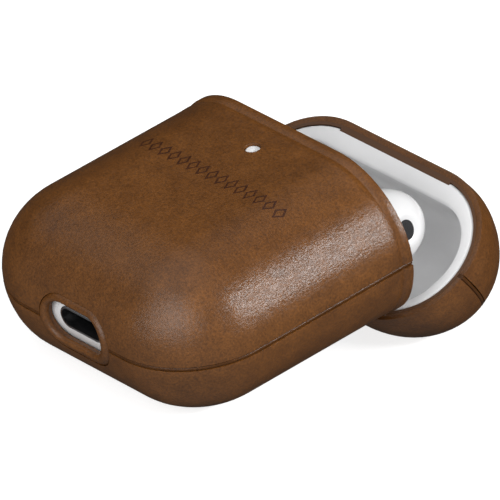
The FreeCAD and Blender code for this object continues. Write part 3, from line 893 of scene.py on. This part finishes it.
def port_rim():
    bm = bmesh.new()
    loops = []
    for radius, up, drop in RIM_SECTION:
        places = [(x, z - drop) for x, z in slot_outline(radius)]
        loops.append([bm.verts.new((x, end_level(z) - up, z)) for x, z in places])
    count = len(loops[0])
    for a, b in zip(loops, loops[1:] + loops[:1]):
        for k in range(count):
            bm.faces.new((a[k], a[(k + 1) % count], b[(k + 1) % count], b[k]))
    bmesh.ops.recalc_face_normals(bm, faces=bm.faces)
    obj = finish_mesh(bm, "port_rim", OWN)
    keep_angles(obj, 60)
    dress(obj, base_leather, "cover_base", "tan_leather", "port_bezel")


port_rim()

# %% [markdown]
# Inside the lid, the white plastic is one smooth form: a flat rim with soft edges, and a deep rounded cavity
# for the heads of the earbuds.

# %% Lid interior
COVER = 1.5
CAVITY_DEPTH = 11.3
CAVITY = Pillow(
    half_width=20.2,
    y=(10.0, LID_BOTTOM + CAVITY_DEPTH),
    front=7.5,
    back=8.6,
    corner=7.6,
    edge=7.5,
)
BOWL_STEPS, BOWL_ARC = 12, 12
WELD = 0.005


def take_in(bm, other):
    """Adds another mesh's faces and frees it."""
    spare = bpy.data.meshes.new("spare")
    other.to_mesh(spare)
    other.free()
    bm.from_mesh(spare)
    bpy.data.meshes.remove(spare)


def closed_pillow(shape):
    """Front and back of a pillow, joined along its outline."""
    front, back = (pillow_half(shape, side, 0.0, BOWL_STEPS, arc=BOWL_ARC) for side in (1, -1))
    take_in(front, back)
    bmesh.ops.remove_doubles(front, verts=front.verts, dist=WELD)
    return front


def lid_interior():
    """The housing's outside and the cavity, bridged across the rim."""
    outer = closed_pillow(Pillow(COVER))
    cut(outer, LID_BOTTOM, "high")
    inner = closed_pillow(CAVITY)
    cut(inner, LID_BOTTOM, "high")
    take_in(outer, inner)
    rims = [e for e in outer.edges if e.is_boundary]
    bmesh.ops.bridge_loops(outer, edges=rims)
    bmesh.ops.recalc_face_normals(outer, faces=outer.faces)
    obj = finish_mesh(outer, "lid_bowl", LID)
    finish_piece(obj, [rounding(0.45, 4, 45)])
    keep_angles(obj, 60)
    dress(obj, white_plastic, "lid", "white_plastic", "lid_insert", "lid_housing")


lid_interior()

# %% [markdown]
# The heads of the earbuds are white and egg-shaped. Each is a sphere of points, turned so that a pole looks
# out of its vent, where the surface dips into a shallow recess with a round black mesh on its floor.

# %% Earbud heads
HEAD_AT = (11.8, 44.9, -2.2)
HEAD_SIZE = Vector((5.6, 7.0, 5.6))
VENT_FACING = (5.0, 1.3, 1.6)
# Degrees from the middle of the vent, and how deep the surface lies there.
VENT_DIP = [(0.0, 0.55), (15.0, 0.55), (18.0, 0.4), (22.0, 0.1), (26.0, 0.0), (180.0, 0.0)]
MESH_RADIUS, MESH_THICKNESS, MESH_SUNK = 1.42, 0.2, 0.5


def head_radius(direction):
    """How far the egg's surface is from its centre in a direction."""
    return 1 / math.sqrt(sum((d / s) ** 2 for d, s in zip(direction, HEAD_SIZE)))


def earbud_head(side, word):
    """A head and the mesh in its vent, on the right (side 1) or the left (side -1)."""
    centre = Vector((side * HEAD_AT[0], HEAD_AT[1], HEAD_AT[2]))
    facing = Vector((side * VENT_FACING[0], VENT_FACING[1], VENT_FACING[2])).normalized()
    turn = facing.to_track_quat("Z", "Y").to_matrix()
    bm = bmesh.new()
    bmesh.ops.create_uvsphere(bm, u_segments=64, v_segments=60, radius=1.0)
    for v in bm.verts:
        off_axis = math.degrees(math.acos(max(-1.0, min(1.0, v.co.z))))
        direction = turn @ v.co
        v.co = centre + direction * (head_radius(direction) - profile_at(VENT_DIP, off_axis))
    obj = finish_mesh(bm, "earbud_head_" + word, OWN)
    dress(obj, white_plastic, "earbud_" + word, "white_plastic", "bud_" + word + "_head")
    place = centre + facing * (head_radius(facing) - MESH_SUNK)
    disc = solid_rod(place, MESH_RADIUS, MESH_THICKNESS, turn.to_4x4(), 40)
    obj = finish_mesh(disc, "earbud_mesh_" + word, OWN)
    keep_angles(obj)
    dress(obj, finishes["black_mesh"], "earbud_" + word, "black_mesh", "bud_" + word + "_vent_mesh")


for side, word in ((1, "right"), (-1, "left")):
    earbud_head(side, word)

# %% [markdown]
# A small white lens fills the hole in the cover's front, in front of the status light.

# %% Light window
WINDOW_RADIUS, WINDOW_THICKNESS, WINDOW_SUNK = 1.14, 0.8, 0.75


def light_window():
    place = Vector((0, LIGHT_UP, HALF_DEPTH - WINDOW_SUNK))
    obj = finish_mesh(solid_rod(place, WINDOW_RADIUS, WINDOW_THICKNESS), "light_window", OWN)
    finish_piece(obj, [rounding(0.25, 4, 50)])
    keep_angles(obj)
    dress(obj, white_plastic, "cover_base", "white_plastic")


light_window()
